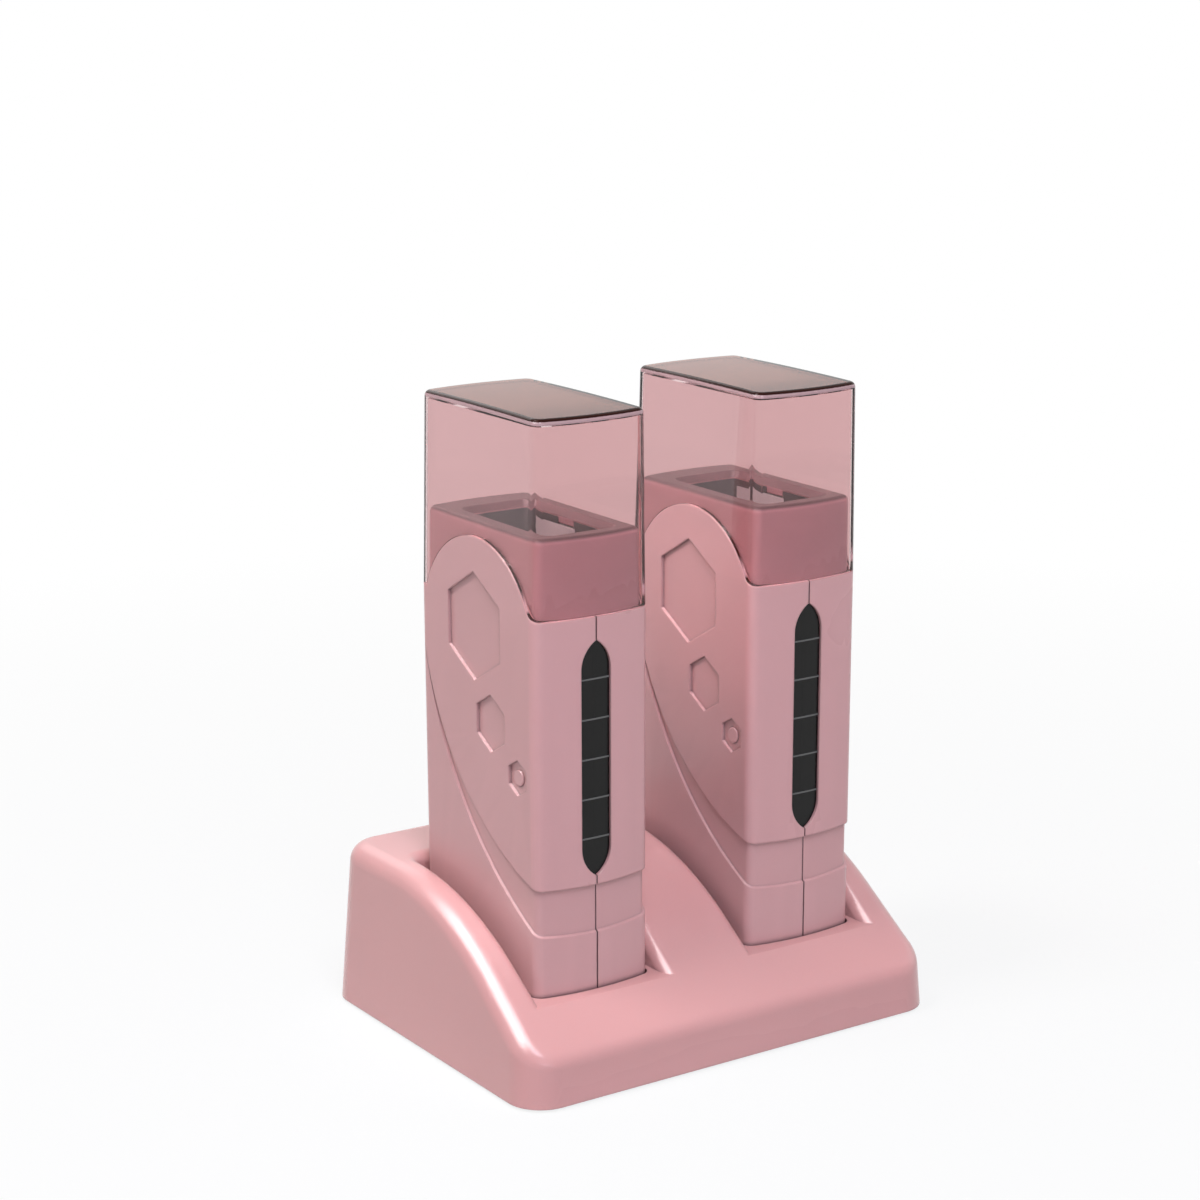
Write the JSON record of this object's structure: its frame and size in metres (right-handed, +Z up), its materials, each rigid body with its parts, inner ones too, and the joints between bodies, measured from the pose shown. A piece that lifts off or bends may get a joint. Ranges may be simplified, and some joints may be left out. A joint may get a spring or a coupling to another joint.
{
  "type": "roll on wax heater",
  "caption": "Docking base with upright cartridge heaters side by side, each with a lift-off clear cap, a level window and a round push key.",
  "frame": {"origin": "middle of the base's footprint, on the surface that the rubber feet stand on", "axes": "+X to the right along the base, -Y to the front where the level windows are, +Z up"},
  "size_m": [0.1738, 0.1368, 0.227],
  "materials": {
    "base_pink": "satin",
    "base_cover": "matt",
    "foot_rubber": "matt",
    "screw_steel": "bright",
    "socket_black": "matt",
    "pin_brass": "bright",
    "wire_red": "satin",
    "shell_pink": "satin",
    "collar_rose": "satin",
    "cap_clear": "clear gloss",
    "window_smoke": "gloss",
    "mark_grey": "matt",
    "well_grey": "matt",
    "plate_aluminium": "satin",
    "element_white": "matt",
    "clip_steel": "satin",
    "cutout_white": "matt",
    "board_green": "satin",
    "switch_black": "matt",
    "lamp_clear": "gloss",
    "key_pink": "gloss"
  },
  "bodies": {
    "base": {"base_housing": "base_pink", "base_plate": "base_cover", "base_feet": "foot_rubber", "base_screws": "screw_steel", "power_inlet": "socket_black", "power_inlet_pins": "pin_brass", "supply_wires": "wire_red", "left_dock_connector": "socket_black", "left_dock_contacts": "pin_brass", "right_dock_connector": "socket_black", "right_dock_contacts": "pin_brass"},
    "left_heater": {"left_key_side_shell": "shell_pink", "left_plain_side_shell": "shell_pink", "left_collar": "collar_rose", "left_window_lens": "window_smoke", "left_level_marks": "mark_grey", "left_cartridge_well": "well_grey", "left_heat_plates": "plate_aluminium", "left_heating_elements": "element_white", "left_element_clips": "clip_steel", "left_thermal_cutout": "cutout_white", "left_control_board": "board_green", "left_push_switch": "switch_black", "left_indicator_lamp": "lamp_clear", "left_heater_wires": "wire_red", "left_plug_socket": "socket_black", "left_socket_pins": "pin_brass", "left_shell_screws": "screw_steel"},
    "left_cover": {"left_cap": "cap_clear"},
    "left_button": {"left_power_key": "key_pink"},
    "right_heater": {"right_key_side_shell": "shell_pink", "right_plain_side_shell": "shell_pink", "right_collar": "collar_rose", "right_window_lens": "window_smoke", "right_level_marks": "mark_grey", "right_cartridge_well": "well_grey", "right_heat_plates": "plate_aluminium", "right_heating_elements": "element_white", "right_element_clips": "clip_steel", "right_thermal_cutout": "cutout_white", "right_control_board": "board_green", "right_push_switch": "switch_black", "right_indicator_lamp": "lamp_clear", "right_heater_wires": "wire_red", "right_plug_socket": "socket_black", "right_socket_pins": "pin_brass", "right_shell_screws": "screw_steel"},
    "right_cover": {"right_cap": "cap_clear"},
    "right_button": {"right_power_key": "key_pink"}
  },
  "joints": [
    {"name": "left_heater_lift", "type": "slide", "parent": "base", "child": "left_heater", "axis": [0, 0, 1], "range_m": [0, 0.08]},
    {"name": "left_cap_lift", "type": "slide", "parent": "left_heater", "child": "left_cover", "axis": [0, 0, 1], "range_m": [0, 0.08]},
    {"name": "left_key_press", "type": "slide", "parent": "left_heater", "child": "left_button", "axis": [1, 0, 0], "range_m": [0, 0.0008], "stiffness_N_per_m": 400},
    {"name": "right_heater_lift", "type": "slide", "parent": "base", "child": "right_heater", "axis": [0, 0, 1], "range_m": [0, 0.08]},
    {"name": "right_cap_lift", "type": "slide", "parent": "right_heater", "child": "right_cover", "axis": [0, 0, 1], "range_m": [0, 0.08]},
    {"name": "right_key_press", "type": "slide", "parent": "right_heater", "child": "right_button", "axis": [1, 0, 0], "range_m": [0, 0.0008], "stiffness_N_per_m": 400}
  ]
}
